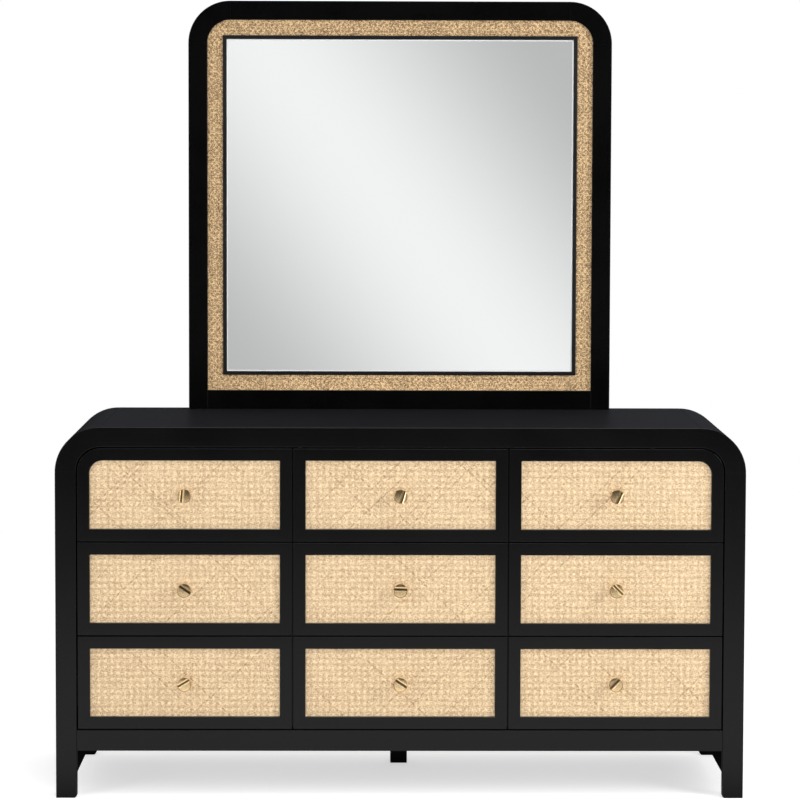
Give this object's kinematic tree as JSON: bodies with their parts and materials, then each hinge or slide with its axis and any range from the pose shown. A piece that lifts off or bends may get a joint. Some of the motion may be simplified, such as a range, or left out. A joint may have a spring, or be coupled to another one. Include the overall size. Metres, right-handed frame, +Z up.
{
  "type": "dresser with drawers",
  "caption": "Wide black dresser with rounded shoulders, sliding drawers with woven cane panels and brass knobs, and a standing mirror framed in cane.",
  "frame": {"origin": "on the floor under the middle of the whole object, from the knobs' faces to the back of the mirror supports", "axes": "+X to the right seen from the front, +Y to the back, +Z up; the drawers open along -Y"},
  "size_m": [1.6, 0.501, 1.869],
  "materials": {
    "black_lacquer": "satin black lacquer on wood",
    "drawer_cane": "natural woven cane webbing, pale straw",
    "border_cane": "natural woven cane webbing, honey",
    "brass": "polished aged brass",
    "pale_wood": "clear matt lacquer on pale wood",
    "hardboard": "dark brown hardboard",
    "mirror_glass": "clear silvered glass"
  },
  "bodies": {
    "root": {"top_panel": "black_lacquer", "corner_left": "black_lacquer", "corner_right": "black_lacquer", "side_panel_left": "black_lacquer", "side_panel_right": "black_lacquer", "front_leg_left": "black_lacquer", "front_leg_right": "black_lacquer", "back_leg_left": "black_lacquer", "back_leg_right": "black_lacquer", "front_apron": "black_lacquer", "back_apron": "black_lacquer", "bottom_panel": "black_lacquer", "back_panel": "hardboard", "partition_left": "pale_wood", "partition_right": "pale_wood", "centre_leg": "black_lacquer", "mirror_frame": "black_lacquer", "mirror_bottom_rail": "black_lacquer", "mirror_cane_border": "border_cane", "mirror_bead": "black_lacquer", "mirror_glass": "mirror_glass", "mirror_backing": "hardboard", "mirror_support_left": "pale_wood", "mirror_support_right": "pale_wood"},
    "drawer_1": {"drawer_1_front": "black_lacquer", "drawer_1_cane": "drawer_cane", "drawer_1_box": "pale_wood", "drawer_1_knob": "brass"},
    "drawer_2": {"drawer_2_front": "black_lacquer", "drawer_2_cane": "drawer_cane", "drawer_2_box": "pale_wood", "drawer_2_knob": "brass"},
    "drawer_3": {"drawer_3_front": "black_lacquer", "drawer_3_cane": "drawer_cane", "drawer_3_box": "pale_wood", "drawer_3_knob": "brass"},
    "drawer_4": {"drawer_4_front": "black_lacquer", "drawer_4_cane": "drawer_cane", "drawer_4_box": "pale_wood", "drawer_4_knob": "brass"},
    "drawer_5": {"drawer_5_front": "black_lacquer", "drawer_5_cane": "drawer_cane", "drawer_5_box": "pale_wood", "drawer_5_knob": "brass"},
    "drawer_6": {"drawer_6_front": "black_lacquer", "drawer_6_cane": "drawer_cane", "drawer_6_box": "pale_wood", "drawer_6_knob": "brass"},
    "drawer_7": {"drawer_7_front": "black_lacquer", "drawer_7_cane": "drawer_cane", "drawer_7_box": "pale_wood", "drawer_7_knob": "brass"},
    "drawer_8": {"drawer_8_front": "black_lacquer", "drawer_8_cane": "drawer_cane", "drawer_8_box": "pale_wood", "drawer_8_knob": "brass"},
    "drawer_9": {"drawer_9_front": "black_lacquer", "drawer_9_cane": "drawer_cane", "drawer_9_box": "pale_wood", "drawer_9_knob": "brass"}
  },
  "joints": [
    {"name": "drawer_1_slide", "type": "slide", "parent": "root", "child": "drawer_1", "axis": [0, -1, 0], "range_m": [0, 0.3]},
    {"name": "drawer_2_slide", "type": "slide", "parent": "root", "child": "drawer_2", "axis": [0, -1, 0], "range_m": [0, 0.3]},
    {"name": "drawer_3_slide", "type": "slide", "parent": "root", "child": "drawer_3", "axis": [0, -1, 0], "range_m": [0, 0.3]},
    {"name": "drawer_4_slide", "type": "slide", "parent": "root", "child": "drawer_4", "axis": [0, -1, 0], "range_m": [0, 0.3]},
    {"name": "drawer_5_slide", "type": "slide", "parent": "root", "child": "drawer_5", "axis": [0, -1, 0], "range_m": [0, 0.3]},
    {"name": "drawer_6_slide", "type": "slide", "parent": "root", "child": "drawer_6", "axis": [0, -1, 0], "range_m": [0, 0.3]},
    {"name": "drawer_7_slide", "type": "slide", "parent": "root", "child": "drawer_7", "axis": [0, -1, 0], "range_m": [0, 0.3]},
    {"name": "drawer_8_slide", "type": "slide", "parent": "root", "child": "drawer_8", "axis": [0, -1, 0], "range_m": [0, 0.3]},
    {"name": "drawer_9_slide", "type": "slide", "parent": "root", "child": "drawer_9", "axis": [0, -1, 0], "range_m": [0, 0.3]}
  ]
}
